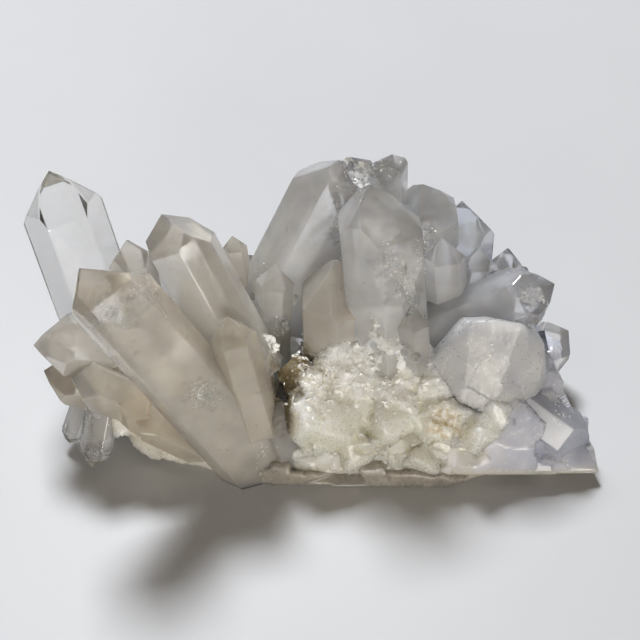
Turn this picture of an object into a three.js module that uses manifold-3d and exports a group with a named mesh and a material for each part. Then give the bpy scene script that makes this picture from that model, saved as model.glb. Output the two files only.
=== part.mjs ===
// A natural quartz crystal cluster: hexagonal prisms with six-faced points, grown together on a broken
// milky root. Millimetres, +Z up. The cluster rests on its flattened underside, and -Y is the side seen
// in the usual view.
import * as THREE from "three";
import Module from "manifold-3d";

const wasm = await Module();
wasm.setup();

// Where the middle of the cluster's extents stands on the table in the coordinates below.
const MIDDLE = new THREE.Vector3(-1.95, 28, 0);
// The direction that a crystal's turn is counted from: towards a viewer in front of the cluster and
// above it.
const FRONT = new THREE.Vector3(0, -0.766, 0.643);
// The angle between a point's faces and the long axis, the same on every quartz crystal.
const POINT_ANGLE = THREE.MathUtils.degToRad(38.2);
// The prism faces of a crystal whose width is the same all round.
const EVEN_SIDES = [1, 1, 1, 1, 1, 1];
// How far a rough lump's faces may fall short of its radius.
const LUMP_SHORTFALL = 0.3;
// How many faces a lump is cut to, and how much of its radius is sunk below the surface that it stands on.
const LUMP_FACES = 12;
const LUMP_SUNK = 0.6;
// Where the random numbers of the hand-placed lumps start.
const KNOB_SEED = 3;
// The least height of a lump over the table.
const LEAST_CLEARANCE = 1;
// The turn between one face of a lump and the next that spreads them evenly.
const GOLDEN_ANGLE = Math.PI * (3 - Math.sqrt(5));

// Each crystal: its point and a place on its axis in the root, its width across flats and its turn about
// the axis. The sides say how far each prism face stands out against an even prism, where they aren't
// all alike. The cap says how far each point face is set back from the point, and a setback does so for
// every second one.
const CRYSTALS = [
  { name: "left_clear", tip: [-61.5, 44, 56.5], root: [-51, 36, 14], width: 16.5, turn: 9, setback: 1.5 },
  {
    name: "great_left", tip: [-49.5, 3, 60.5], root: [-14, 5.5, -1], width: 15, turn: 0,
    sides: [0.7, 1.2, 1.2, 0.7, 0.85, 0.95], cap: [0, 7, 0, 5, 0, 5],
  },
  {
    name: "left_back", tip: [-34.5, 26, 57.5], root: [-15.5, 12.5, 22], width: 14.5, turn: 20,
    sides: [1, 1.05, 1, 1, 0.85, 0.85], cap: [9, 0, 9, 0, 6, 0],
  },
  { name: "little_grey", tip: [-44, 36, 43], root: [-40, 31, 12], width: 9.5, turn: 10, setback: 2 },
  { name: "thin_back", tip: [-20, 36, 44], root: [-16.5, 34, 16], width: 5, turn: 0, setback: 0.5 },
  { name: "blunt_middle", tip: [-10, 30, 40.5], root: [-12, 28, 12], width: 8, turn: 0, setback: 0.5 },
  {
    name: "tall_pale", tip: [4.5, 38, 63.5], root: [-15, 30, 23.5], width: 19, turn: 30,
    sides: [0.3, 1.25, 1.2, 1, 0.8, 0.3], setback: 3,
  },
  {
    name: "top_ridge", tip: [7, 48, 57.5], root: [7, 48, 18], width: 15, turn: 20,
    sides: [1, 1.1, 1, 0.9, 0.4, 0.6], cap: [6, 0, 6, 0, 2, 0],
  },
  {
    name: "top_front", tip: [16, 41, 63], root: [17, 38, 24], width: 15, turn: -45,
    sides: [1, 0.6, 0.4, 0.6, 1.4, 1.7], cap: [0, 6, 0, 6, 0, 14],
  },
  {
    name: "centre_front", tip: [10.5, 28, 64], root: [14, 19, 22], width: 18, turn: 30,
    sides: [1, 1.2, 1.1, 1, 0.8, 0.9], setback: 2,
  },
  {
    name: "brown_middle", tip: [3.5, 24, 46.5], root: [4, 21, 16], width: 17, turn: 30,
    sides: [1, 1.2, 1, 1, 0.9, 1], setback: 1,
  },
  { name: "right_tall", tip: [23, 38, 57], root: [27, 39.5, 16], width: 14, turn: 30, setback: 1.5 },
  { name: "right_blue", tip: [32.5, 42, 49.5], root: [32, 39, 12], width: 14, turn: 0, setback: 1.5 },
  {
    name: "stub_right", tip: [27, 30, 48], root: [30, 27.5, 20], width: 8, turn: 0,
    sides: [1, 1.2, 1, 1, 1, 1], setback: 0.5,
  },
  { name: "stub_behind", tip: [36, 34, 42], root: [33, 31, 16], width: 7, turn: 20, setback: 1 },
  { name: "little_right", tip: [44, 42, 36], root: [42, 38, 14], width: 7, turn: 0, setback: 0.5 },
  { name: "right_lying", tip: [53, 26, 38], root: [20, 22, 23], width: 13, turn: 0, setback: 1.5 },
  { name: "right_edge", tip: [51.5, 24, 26], root: [40, 22, 12], width: 8, turn: 20, setback: 1.5 },
  { name: "right_foot", tip: [61.5, 5.5, 5], root: [44, 13, 15], width: 11, turn: 10, setback: 1.5 },
  { name: "small_centre", tip: [20, 16, 39.5], root: [22, 14, 17], width: 7, turn: 30, setback: 0.5 },
  { name: "beige_front", tip: [-20, 8, 43.5], root: [-13.5, 6, 12], width: 9, turn: 0, setback: 0.5 },
  { name: "slip_front", tip: [-13, 10, 33.5], root: [-12, 8, 13], width: 4, turn: 0, setback: 0.5 },
  { name: "front_foot", tip: [-13, 8, 21], root: [-6, 5.5, -1], width: 8, turn: 10, setback: 1 },
  {
    name: "left_block", tip: [-66, 16, 28.5], root: [-42, 21.5, 22], width: 13, turn: 10,
    sides: [1, 1.1, 1, 1, 1, 1], cap: [-1, 0, -1, 0, -1, 0],
  },
  { name: "left_lower", tip: [-62.5, 14, 22.5], root: [-43, 17, 12.5], width: 11, turn: 0, setback: 1 },
  { name: "left_facet", tip: [-55.5, 9, 25], root: [-40, 12, 14], width: 10, turn: 20, setback: 3 },
  { name: "low_left", tip: [-46, 7, 21], root: [-30, 10, 6], width: 10, turn: 30, setback: 2 },
  { name: "low_front", tip: [-41.5, 4, 18.5], root: [-27, 8, 4], width: 8, turn: 10, setback: 2 },
  { name: "hang_left", tip: [-58.5, 12, 1.5], root: [-52.5, 19, 16], width: 5, turn: 0, setback: 0.5 },
  { name: "hang_low", tip: [-52.5, 5, 0.5], root: [-48.5, 16, 17], width: 7, turn: 0, setback: 0.5 },
  { name: "back_left", tip: [-38, 56, 30], root: [-26, 36, 8], width: 13, turn: 12, setback: 2 },
  { name: "back_long", tip: [-20, 58, 22], root: [-10, 34, 10], width: 11, turn: 25, setback: 3 },
  {
    name: "back_middle", tip: [3, 59, 38], root: [2, 38, 10], width: 14, turn: 5,
    sides: [1, 1, 1.1, 1, 1, 0.9], cap: [4, 0, 4, 0, 4, 0],
  },
  { name: "back_right", tip: [24, 58, 33], root: [18, 38, 8], width: 12, turn: 40, setback: 2 },
  { name: "back_low", tip: [43, 54, 20], root: [30, 36, 6], width: 12, turn: 18, setback: 3 },
  { name: "back_edge", tip: [60, 38, 14], root: [40, 28, 5], width: 12, turn: 0, setback: 2 },
  { name: "left_under", tip: [-58, 38, 9], root: [-38, 30, 6], width: 11, turn: 15, setback: 2 },
];

// The broken root under the crystals, as convex blocks given by their corners.
const BLOCKS = [
  {
    name: "right_slab",
    corners: [
      [-6, 1.5, 2], [-6, 2.5, 7], [10, 0.5, 3], [30, 0, 3.5], [64, 0.5, 2.5], [62, 3.5, 7],
      [54, 12, 19], [46, 9, 19.5], [40, 4.5, 15], [45, 2, 9], [57, 36, 3], [50, 32, 20],
      [28, 42, 20], [-6, 44, 3],
    ],
  },
  {
    name: "etched_face",
    corners: [
      [24.5, 12, 27], [29, 14, 32], [33, 15, 36], [38, 15, 36.5], [45, 15, 35], [50, 15, 30],
      [51.5, 13, 20], [48.5, 9, 19], [38, 4.5, 17], [31, 6, 20], [28, 34, 26], [48, 32, 24],
    ],
  },
  {
    name: "white_mound",
    corners: [
      [-7, 8, 13], [-5, 2.5, 5], [-1, 11.5, 26], [4, 16, 29], [11, 20, 34], [20, 18, 33],
      [24, 14, 28], [30, 7, 19], [36, 4, 9], [30, 2, 4], [-2, 32, 26], [22, 38, 32],
    ],
  },
  {
    name: "left_root",
    corners: [
      [-24, 5.5, 4], [-31, 5, 2], [-39, 7, 3], [-48, 9, 8], [-50, 14, 20], [-30, 14, 25],
      [-15, 8, 20], [-10, 4, 5], [-50, 42, 4], [-6, 44, 4], [-18, 38, 20], [-55, 37, 14],
    ],
  },
  {
    name: "underside",
    corners: [
      [-16, 0, 0], [7, -1, 0], [29, -1, 0], [41, 4, 0], [42, 38, 0], [-34, 40, 0], [-40, 12, 0],
      [-18, 1.5, 4], [30, 0.5, 4], [46, 6, 5], [48, 40, 6], [-40, 42, 6], [-44, 12, 5],
    ],
  },
];

// The larger broken lumps of the white quartz in front: their middle and radius.
const KNOBS = [
  { centre: [13.5, 17.5, 33], radius: 4.5 },
  { centre: [4, 8, 12], radius: 8 },
  { centre: [-3, 8, 16], radius: 6.5 },
  { centre: [37, 6, 11], radius: 6 },
  { centre: [40.5, 8, 15.5], radius: 4.5 },
  { centre: [28, 8, 13], radius: 7 },
  { centre: [-3, 12, 21], radius: 5 },
  { centre: [5.5, 15, 23.5], radius: 7 },
  { centre: [15, 17, 28], radius: 7.5 },
  { centre: [17, 9.5, 14], radius: 8 },
  { centre: [52, 7, 7], radius: 6 },
  { centre: [23, 5, 6], radius: 6 },
  { centre: [8, 5, 6], radius: 5.5 },
];

// Smaller lumps that roughen a block: how many, their least and greatest radius, and the side that they
// stand on.
const LUMPS = [
  { block: "white_mound", count: 48, least: 2, most: 4, side: [0, -0.75, 0.65], seed: 11 },
  { block: "right_slab", count: 40, least: 2, most: 3.5, side: [-0.2, -0.9, 0.6], seed: 24 },
  { block: "right_slab", count: 16, least: 3, most: 6, side: [0.3, 0.8, 0.5], seed: 29 },
  { block: "left_root", count: 20, least: 2, most: 4, side: [-0.3, -0.8, 0], seed: 37 },
  { block: "left_root", count: 12, least: 3, most: 5.5, side: [-0.4, 0.8, 0.5], seed: 38 },
];

// Patches of small crystals: their middle, how far they spread, the way they lean, and their greatest
// size.
const DRUSES = [
  {
    centre: [-17, 33, 24], spread: [6, 5, 4], lean: [-0.2, -0.2, 1],
    count: 9, length: 13, width: 5, seed: 5,
  },
  {
    centre: [-8, 30, 24], spread: [5, 4, 3], lean: [0.1, -0.4, 1],
    count: 5, length: 9, width: 4, seed: 6,
  },
  {
    centre: [43, 40, 24], spread: [5, 4, 4], lean: [0.5, 0.1, 1],
    count: 6, length: 9, width: 4, seed: 7,
  },
  {
    centre: [45.5, 20, 18], spread: [3, 6, 6], lean: [1, -0.1, 0.35],
    count: 6, length: 8, width: 5, seed: 8,
  },
  {
    centre: [-50, 14, 14], spread: [5, 4, 5], lean: [-1, -0.5, -0.3],
    count: 7, length: 8, width: 4.5, seed: 9,
  },
  {
    centre: [-28, 42, 12], spread: [12, 4, 5], lean: [-0.2, 1, 0.5],
    count: 8, length: 10, width: 6, seed: 10,
  },
  {
    centre: [10, 44, 14], spread: [14, 4, 7], lean: [0, 1, 0.6],
    count: 9, length: 11, width: 6, seed: 12,
  },
  {
    centre: [38, 42, 12], spread: [10, 4, 5], lean: [0.4, 1, 0.5],
    count: 7, length: 9, width: 6, seed: 13,
  },
  {
    centre: [22, 13, 27], spread: [5, 2, 3], lean: [0.1, -0.6, 1],
    count: 3, length: 6, width: 3, seed: 14,
  },
];

// A crystal's own directions: along its axis to the point, out of its front, and to that front's right.
function axesOf({ tip, root }) {
  const along = new THREE.Vector3(...tip).sub(new THREE.Vector3(...root)).normalize();
  const out = FRONT.clone().addScaledVector(along, -FRONT.dot(along)).normalize();
  return { along, out, across: along.clone().cross(out) };
}

// The planes that bound a crystal, each a normal and a distance from the origin.
function crystalPlanes(crystal) {
  const { along, out, across } = axesOf(crystal);
  const tip = new THREE.Vector3(...crystal.tip);
  const root = new THREE.Vector3(...crystal.root);
  const sides = crystal.sides ?? EVEN_SIDES;
  const cap = crystal.cap ?? EVEN_SIDES.map((value, k) => (k % 2) * crystal.setback);
  const planes = [{ normal: along.clone().negate(), distance: -along.dot(root) }];
  for (let k = 0; k < 6; k++) {
    const angle = THREE.MathUtils.degToRad(crystal.turn + 60 * k);
    const side = out.clone().multiplyScalar(Math.cos(angle)).addScaledVector(across, Math.sin(angle));
    planes.push({ normal: side, distance: side.dot(tip) + (crystal.width / 2) * sides[k] });
    const slope = side.clone().multiplyScalar(Math.cos(POINT_ANGLE));
    slope.addScaledVector(along, Math.sin(POINT_ANGLE));
    planes.push({ normal: slope, distance: slope.dot(tip) + cap[k] });
  }
  return planes;
}

// The planes that bound a block: each plane through three of its corners with all the others behind it.
function blockPlanes({ corners }) {
  const points = corners.map((corner) => new THREE.Vector3(...corner));
  const planes = [];
  eachThree(points, (a, b, c) => {
    const normal = b.clone().sub(a).cross(c.clone().sub(a));
    if (normal.length() < 1e-6) return;
    normal.normalize();
    for (const sign of [1, -1]) {
      const facing = normal.clone().multiplyScalar(sign);
      const distance = facing.dot(a);
      if (!points.every((point) => facing.dot(point) < distance + 1e-6)) continue;
      if (planes.some((plane) => plane.normal.distanceTo(facing) < 1e-4)) continue;
      planes.push({ normal: facing, distance });
    }
  });
  return planes;
}

// Calls a function with every three different members of a list.
function eachThree(list, use) {
  for (let i = 0; i < list.length; i++) {
    for (let j = i + 1; j < list.length; j++) {
      for (let k = j + 1; k < list.length; k++) use(list[i], list[j], list[k]);
    }
  }
}

// The point that three planes share, or null where two of them are parallel.
function meetingPoint(a, b, c) {
  const bc = b.normal.clone().cross(c.normal);
  const spread = a.normal.dot(bc);
  if (Math.abs(spread) < 1e-6) return null;
  const ca = c.normal.clone().cross(a.normal);
  const ab = a.normal.clone().cross(b.normal);
  return bc
    .multiplyScalar(a.distance)
    .addScaledVector(ca, b.distance)
    .addScaledVector(ab, c.distance)
    .divideScalar(spread);
}

// The solid bounded by planes that face outwards.
function convexSolid(planes) {
  const corners = [];
  eachThree(planes, (a, b, c) => {
    const point = meetingPoint(a, b, c);
    if (!point) return;
    if (!planes.every((plane) => plane.normal.dot(point) < plane.distance + 1e-6)) return;
    if (!corners.some((corner) => corner.distanceTo(point) < 1e-4)) corners.push(point);
  });
  const triangles = [];
  for (const plane of planes) {
    const rim = ringOf(plane, corners);
    for (let i = 2; i < rim.length; i++) triangles.push(rim[0], rim[i - 1], rim[i]);
  }
  const places = new Float32Array(corners.flatMap((corner) => corner.toArray()));
  return new wasm.Manifold(
    new wasm.Mesh({ numProp: 3, vertProperties: places, triVerts: new Uint32Array(triangles) }),
  );
}

// The numbers of the corners that lie on a plane, in order round it as seen from outside.
function ringOf(plane, corners) {
  const on = [];
  corners.forEach((corner, index) => {
    if (Math.abs(plane.normal.dot(corner) - plane.distance) < 1e-4) on.push(index);
  });
  if (on.length < 3) return [];
  const middle = new THREE.Vector3();
  for (const index of on) middle.addScaledVector(corners[index], 1 / on.length);
  const right = corners[on[0]].clone().sub(middle).normalize();
  const up = plane.normal.clone().cross(right);
  const angleOf = (index) => {
    const spoke = corners[index].clone().sub(middle);
    return Math.atan2(spoke.dot(up), spoke.dot(right));
  };
  return on.sort((a, b) => angleOf(a) - angleOf(b));
}

// One solid made of many, cut flat where it rests and without any hollow that is closed all round.
function joined(solids, cutAway) {
  let whole = solids[0];
  for (const solid of solids.slice(1)) whole = whole.add(solid);
  const bodies = whole.subtract(cutAway).decompose();
  return bodies.sort((a, b) => b.volume() - a.volume())[0];
}

// A list of numbers from 0 to 1 that is the same on every run, as a function that gives the next.
function dice(seed) {
  let state = seed;
  return () => {
    state = (state + 0x6d2b79f5) | 0;
    let mixed = Math.imul(state ^ (state >>> 15), state | 1);
    mixed ^= mixed + Math.imul(mixed ^ (mixed >>> 7), mixed | 61);
    return ((mixed ^ (mixed >>> 14)) >>> 0) / 4294967296;
  };
}

// A random direction within a wide cone about an axis that need not be of unit length.
function directionAbout(axis, looseness, roll) {
  const loose = new THREE.Vector3(roll() * 2 - 1, roll() * 2 - 1, roll() * 2 - 1);
  return new THREE.Vector3(...axis).addScaledVector(loose, looseness).normalize();
}

// The planes of a rough lump: nearly even directions all round, each cut a little nearer than the radius.
function lumpPlanes(centre, radius, roll) {
  const planes = [];
  for (let k = 0; k < LUMP_FACES; k++) {
    const height = 1 - (2 * k + 1) / LUMP_FACES;
    const around = k * GOLDEN_ANGLE + roll() * 0.9;
    const reach = Math.sqrt(1 - height * height);
    const normal = new THREE.Vector3(reach * Math.cos(around), reach * Math.sin(around), height);
    planes.push({ normal, distance: normal.dot(centre) + radius * (1 - LUMP_SHORTFALL * roll()) });
  }
  return planes;
}

// The lumps on a block: each stands where a line from a random place inside it, towards the side, leaves
// it. There is none where that place lies less deep than the lump is large.
function lumpsOn({ block, count, least, most, side, seed }) {
  const { corners } = BLOCKS.find(({ name }) => name === block);
  const faces = blockPlanes({ corners });
  const roll = dice(seed);
  const anyCorner = () => new THREE.Vector3(...corners[Math.floor(roll() * corners.length)]);
  const lumps = [];
  for (let i = 0; i < count; i++) {
    const inside = anyCorner().lerp(anyCorner(), roll()).lerp(anyCorner(), 0.5 * roll());
    const way = directionAbout(side, 0.25, roll);
    const leaving = faces.filter(({ normal }) => normal.dot(way) > 1e-6);
    const steps = leaving.map(({ normal, distance }) => (distance - normal.dot(inside)) / normal.dot(way));
    const depth = Math.min(...steps);
    const radius = least + (most - least) * roll();
    if (depth < radius) continue;
    const centre = inside.addScaledVector(way, depth - radius * LUMP_SUNK);
    centre.z = Math.max(centre.z, radius + LEAST_CLEARANCE);
    lumps.push(lumpPlanes(centre, radius, roll));
  }
  return lumps;
}

// The larger lumps, placed by hand.
function knobPlanes() {
  const roll = dice(KNOB_SEED);
  return KNOBS.map(({ centre, radius }) => lumpPlanes(new THREE.Vector3(...centre), radius, roll));
}

// The small crystals of a patch.
function druse({ centre, spread, lean, count, length, width, seed }) {
  const roll = dice(seed);
  const crystals = [];
  for (let i = 0; i < count; i++) {
    const root = centre.map((value, axis) => value + spread[axis] * (roll() * 2 - 1));
    const way = directionAbout(lean, 0.45, roll);
    const size = 0.45 + 0.55 * roll();
    const tip = root.map((value, axis) => value + way.getComponent(axis) * length * size);
    const cap = [0, 1, 0, 1, 0, 1].map((value) => value * roll());
    const sides = [1, 1, 1, 1, 1, 1].map(() => 0.8 + 0.3 * roll());
    crystals.push(crystalPlanes({ tip, root, width: width * size, turn: 60 * roll(), sides, cap }));
  }
  return crystals;
}

// A solid box from its least and greatest corner.
function boxPlanes(least, most) {
  return ["x", "y", "z"].flatMap((axis, index) => {
    const normal = new THREE.Vector3().setComponent(index, 1);
    return [{ normal, distance: most[index] }, { normal: normal.clone().negate(), distance: -least[index] }];
  });
}

// A mesh of a solid in the cluster's own frame.
function meshOf(name, solid, material) {
  const { vertProperties, triVerts } = solid.getMesh();
  const geometry = new THREE.BufferGeometry();
  geometry.setAttribute("position", new THREE.BufferAttribute(vertProperties, 3));
  geometry.setIndex(new THREE.BufferAttribute(triVerts, 1));
  geometry.translate(-MIDDLE.x, -MIDDLE.y, -MIDDLE.z);
  const mesh = new THREE.Mesh(geometry, material);
  mesh.name = name;
  return mesh;
}

const quartz = new THREE.MeshStandardMaterial({ color: 0xd9d6cd, roughness: 0.25, metalness: 0 });

function makeCluster() {
  const pieces = [
    ...BLOCKS.map(blockPlanes),
    ...CRYSTALS.map(crystalPlanes),
    ...knobPlanes(),
    ...LUMPS.flatMap(lumpsOn),
    ...DRUSES.flatMap(druse),
  ];
  const belowTable = convexSolid(boxPlanes([-200, -200, -50], [200, 200, 0]));
  return meshOf("quartz_cluster", joined(pieces.map(convexSolid), belowTable), quartz);
}

const cluster = new THREE.Group();
cluster.name = "himalayan_quartz";
cluster.add(makeCluster());
export default cluster;
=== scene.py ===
"""A natural quartz crystal cluster: clear and milky six-sided crystals grown from a broken white root."""

import math
from collections import namedtuple
from itertools import combinations

import bmesh
import bpy
import numpy as np
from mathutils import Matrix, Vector
from mathutils.kdtree import KDTree


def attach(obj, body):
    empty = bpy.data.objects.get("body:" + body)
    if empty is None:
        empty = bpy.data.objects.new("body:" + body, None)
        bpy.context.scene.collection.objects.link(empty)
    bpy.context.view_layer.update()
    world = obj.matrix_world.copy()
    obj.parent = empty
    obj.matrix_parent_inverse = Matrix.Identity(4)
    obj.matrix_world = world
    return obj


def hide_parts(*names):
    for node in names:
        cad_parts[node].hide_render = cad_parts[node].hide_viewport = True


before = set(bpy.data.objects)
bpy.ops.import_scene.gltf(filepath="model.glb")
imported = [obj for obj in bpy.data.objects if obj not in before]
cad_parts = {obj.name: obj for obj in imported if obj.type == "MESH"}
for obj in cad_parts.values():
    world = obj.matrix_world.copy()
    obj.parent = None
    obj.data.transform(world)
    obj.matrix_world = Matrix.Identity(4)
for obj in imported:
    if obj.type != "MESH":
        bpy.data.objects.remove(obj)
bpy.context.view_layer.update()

# One millimetre in metres. Sizes below are in millimetres, and the meshes made from them in metres.
MM = 0.001
# Where the middle of the cluster's extents stands on the table in the coordinates below.
MIDDLE = np.array([-1.95, 28.0, 0.0])
# The direction that a crystal's turn is counted from: towards a viewer in front of the cluster and above it.
FRONT = np.array([0.0, -0.766, 0.643])
# The angle between a point's faces and the long axis, the same on every quartz crystal.
POINT_ANGLE = math.radians(38.2)
# How strongly quartz bends light.
QUARTZ_IOR = 1.544
# The prism faces of a crystal whose width is the same all round.
EVEN_SIDES = (1, 1, 1, 1, 1, 1)
# How a rough lump is cut: its faces, how far each may fall short of its radius, and how far it is sunk.
LUMP_FACES = 12
LUMP_SHORTFALL = 0.3
LUMP_SUNK = 0.6
# Where the random numbers of the listed lumps start, and the least height of a lump over the table.
KNOB_SEED = 3
LEAST_CLEARANCE = 1
GOLDEN_ANGLE = math.pi * (3 - math.sqrt(5))
# Where the random numbers of the facets and grains start.
MOUND_SEED = 101
SUGARY_SEED = 102
SLAB_SEED = 103
ROOT_SEED = 104
CREAM_SEED = 105
UNDERSIDE_SEED = 106
BLOCK_SEED = 201
GLINT_SEED = 301
SUGAR_SEED = 401
GLITTER_PLACE_SEED = 411
GLITTER_SEED = 415
# The small broken grains: how many faces each has, and how many different kinds there are.
GRAIN_FACES = 9
GRAIN_KINDS = 16
# The thin cracks inside the crystals: points round the outline, thickness, and bulge against their radius.
PLATE_POINTS = 22
PLATE_THICKNESS = 0.06
PLATE_BULGE = 0.12

Lumps = namedtuple("Lumps", "block count least most side seed")
Druse = namedtuple("Druse", "centre spread lean count length width seed")
Glints = namedtuple("Glints", "centre spread count least most")
Crack = namedtuple("Crack", "centre way radius squash")


def crystal(name, tip, root, width, turn, sides=EVEN_SIDES, cap=None, setback=0):
    """A crystal: its point and a place on its axis in the root, its width across flats, its turn about the
    axis, how far each prism face stands out against an even prism, and each point face's setback."""
    every_second = tuple((k % 2) * setback for k in range(6))
    return {
        "name": name,
        "tip": np.array(tip, float),
        "root": np.array(root, float),
        "width": width,
        "turn": turn,
        "sides": sides,
        "cap": cap or every_second,
    }


CRYSTALS = [
    crystal("left_clear", (-61.5, 44, 56.5), (-51, 36, 14), 16.5, 9, setback=1.5),
    crystal(
        "great_left", (-49.5, 3, 60.5), (-14, 5.5, -1), 15, 0,
        sides=(0.7, 1.2, 1.2, 0.7, 0.85, 0.95), cap=(0, 7, 0, 5, 0, 5),
    ),
    crystal(
        "left_back", (-34.5, 26, 57.5), (-15.5, 12.5, 22), 14.5, 20,
        sides=(1, 1.05, 1, 1, 0.85, 0.85), cap=(9, 0, 9, 0, 6, 0),
    ),
    crystal("little_grey", (-44, 36, 43), (-40, 31, 12), 9.5, 10, setback=2),
    crystal("thin_back", (-20, 36, 44), (-16.5, 34, 16), 5, 0, setback=0.5),
    crystal("blunt_middle", (-10, 30, 40.5), (-12, 28, 12), 8, 0, setback=0.5),
    crystal(
        "tall_pale", (4.5, 38, 63.5), (-15, 30, 23.5), 19, 30,
        sides=(0.3, 1.25, 1.2, 1, 0.8, 0.3), setback=3,
    ),
    crystal(
        "top_ridge", (7, 48, 57.5), (7, 48, 18), 15, 20,
        sides=(1, 1.1, 1, 0.9, 0.4, 0.6), cap=(6, 0, 6, 0, 2, 0),
    ),
    crystal(
        "top_front", (16, 41, 63), (17, 38, 24), 15, -45,
        sides=(1, 0.6, 0.4, 0.6, 1.4, 1.7), cap=(0, 6, 0, 6, 0, 14),
    ),
    crystal(
        "centre_front", (10.5, 28, 64), (14, 19, 22), 18, 30,
        sides=(1, 1.2, 1.1, 1, 0.8, 0.9), setback=2,
    ),
    crystal(
        "brown_middle", (3.5, 24, 46.5), (4, 21, 16), 17, 30,
        sides=(1, 1.2, 1, 1, 0.9, 1), setback=1,
    ),
    crystal("right_tall", (23, 38, 57), (27, 39.5, 16), 14, 30, setback=1.5),
    crystal("right_blue", (32.5, 42, 49.5), (32, 39, 12), 14, 0, setback=1.5),
    crystal("stub_right", (27, 30, 48), (30, 27.5, 20), 8, 0, sides=(1, 1.2, 1, 1, 1, 1), setback=0.5),
    crystal("stub_behind", (36, 34, 42), (33, 31, 16), 7, 20, setback=1),
    crystal("little_right", (44, 42, 36), (42, 38, 14), 7, 0, setback=0.5),
    crystal("right_lying", (53, 26, 38), (20, 22, 23), 13, 0, setback=1.5),
    crystal("right_edge", (51.5, 24, 26), (40, 22, 12), 8, 20, setback=1.5),
    crystal("right_foot", (61.5, 5.5, 5), (44, 13, 15), 11, 10, setback=1.5),
    crystal("small_centre", (20, 16, 39.5), (22, 14, 17), 7, 30, setback=0.5),
    crystal("beige_front", (-20, 8, 43.5), (-13.5, 6, 12), 9, 0, setback=0.5),
    crystal("slip_front", (-13, 10, 33.5), (-12, 8, 13), 4, 0, setback=0.5),
    crystal("front_foot", (-13, 8, 21), (-6, 5.5, -1), 8, 10, setback=1),
    crystal(
        "left_block", (-66, 16, 28.5), (-42, 21.5, 22), 13, 10,
        sides=(1, 1.1, 1, 1, 1, 1), cap=(-1, 0, -1, 0, -1, 0),
    ),
    crystal("left_lower", (-62.5, 14, 22.5), (-43, 17, 12.5), 11, 0, setback=1),
    crystal("left_facet", (-55.5, 9, 25), (-40, 12, 14), 10, 20, setback=3),
    crystal("low_left", (-46, 7, 21), (-30, 10, 6), 10, 30, setback=2),
    crystal("low_front", (-41.5, 4, 18.5), (-27, 8, 4), 8, 10, setback=2),
    crystal("hang_left", (-58.5, 12, 1.5), (-52.5, 19, 16), 5, 0, setback=0.5),
    crystal("hang_low", (-52.5, 5, 0.5), (-48.5, 16, 17), 7, 0, setback=0.5),
    crystal("back_left", (-38, 56, 30), (-26, 36, 8), 13, 12, setback=2),
    crystal("back_long", (-20, 58, 22), (-10, 34, 10), 11, 25, setback=3),
    crystal(
        "back_middle", (3, 59, 38), (2, 38, 10), 14, 5,
        sides=(1, 1, 1.1, 1, 1, 0.9), cap=(4, 0, 4, 0, 4, 0),
    ),
    crystal("back_right", (24, 58, 33), (18, 38, 8), 12, 40, setback=2),
    crystal("back_low", (43, 54, 20), (30, 36, 6), 12, 18, setback=3),
    crystal("back_edge", (60, 38, 14), (40, 28, 5), 12, 0, setback=2),
    crystal("left_under", (-58, 38, 9), (-38, 30, 6), 11, 15, setback=2),
]

BLOCKS = {
    "right_slab": [
        (-6, 1.5, 2), (-6, 2.5, 7), (10, 0.5, 3), (30, 0, 3.5), (64, 0.5, 2.5), (62, 3.5, 7),
        (54, 12, 19), (46, 9, 19.5), (40, 4.5, 15), (45, 2, 9), (57, 36, 3), (50, 32, 20),
        (28, 42, 20), (-6, 44, 3),
    ],
    "etched_face": [
        (24.5, 12, 27), (29, 14, 32), (33, 15, 36), (38, 15, 36.5), (45, 15, 35), (50, 15, 30),
        (51.5, 13, 20), (48.5, 9, 19), (38, 4.5, 17), (31, 6, 20), (28, 34, 26), (48, 32, 24),
    ],
    "white_mound": [
        (-7, 8, 13), (-5, 2.5, 5), (-1, 11.5, 26), (4, 16, 29), (11, 20, 34), (20, 18, 33),
        (24, 14, 28), (30, 7, 19), (36, 4, 9), (30, 2, 4), (-2, 32, 26), (22, 38, 32),
    ],
    "left_root": [
        (-24, 5.5, 4), (-31, 5, 2), (-39, 7, 3), (-48, 9, 8), (-50, 14, 20), (-30, 14, 25),
        (-15, 8, 20), (-10, 4, 5), (-50, 42, 4), (-6, 44, 4), (-18, 38, 20), (-55, 37, 14),
    ],
    "underside": [
        (-16, 0, 0), (7, -1, 0), (29, -1, 0), (41, 4, 0), (42, 38, 0), (-34, 40, 0), (-40, 12, 0),
        (-18, 1.5, 4), (30, 0.5, 4), (46, 6, 5), (48, 40, 6), (-40, 42, 6), (-44, 12, 5),
    ],
}

KNOBS = [
    ((13.5, 17.5, 33), 4.5),
    ((4, 8, 12), 8),
    ((-3, 8, 16), 6.5),
    ((37, 6, 11), 6),
    ((40.5, 8, 15.5), 4.5),
    ((28, 8, 13), 7),
    ((-3, 12, 21), 5),
    ((5.5, 15, 23.5), 7),
    ((15, 17, 28), 7.5),
    ((17, 9.5, 14), 8),
    ((52, 7, 7), 6),
    ((23, 5, 6), 6),
    ((8, 5, 6), 5.5),
]

LUMPS = [
    Lumps("white_mound", 48, 2, 4, (0, -0.75, 0.65), 11),
    Lumps("right_slab", 40, 2, 3.5, (-0.2, -0.9, 0.6), 24),
    Lumps("right_slab", 16, 3, 6, (0.3, 0.8, 0.5), 29),
    Lumps("left_root", 20, 2, 4, (-0.3, -0.8, 0), 37),
    Lumps("left_root", 12, 3, 5.5, (-0.4, 0.8, 0.5), 38),
]

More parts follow.
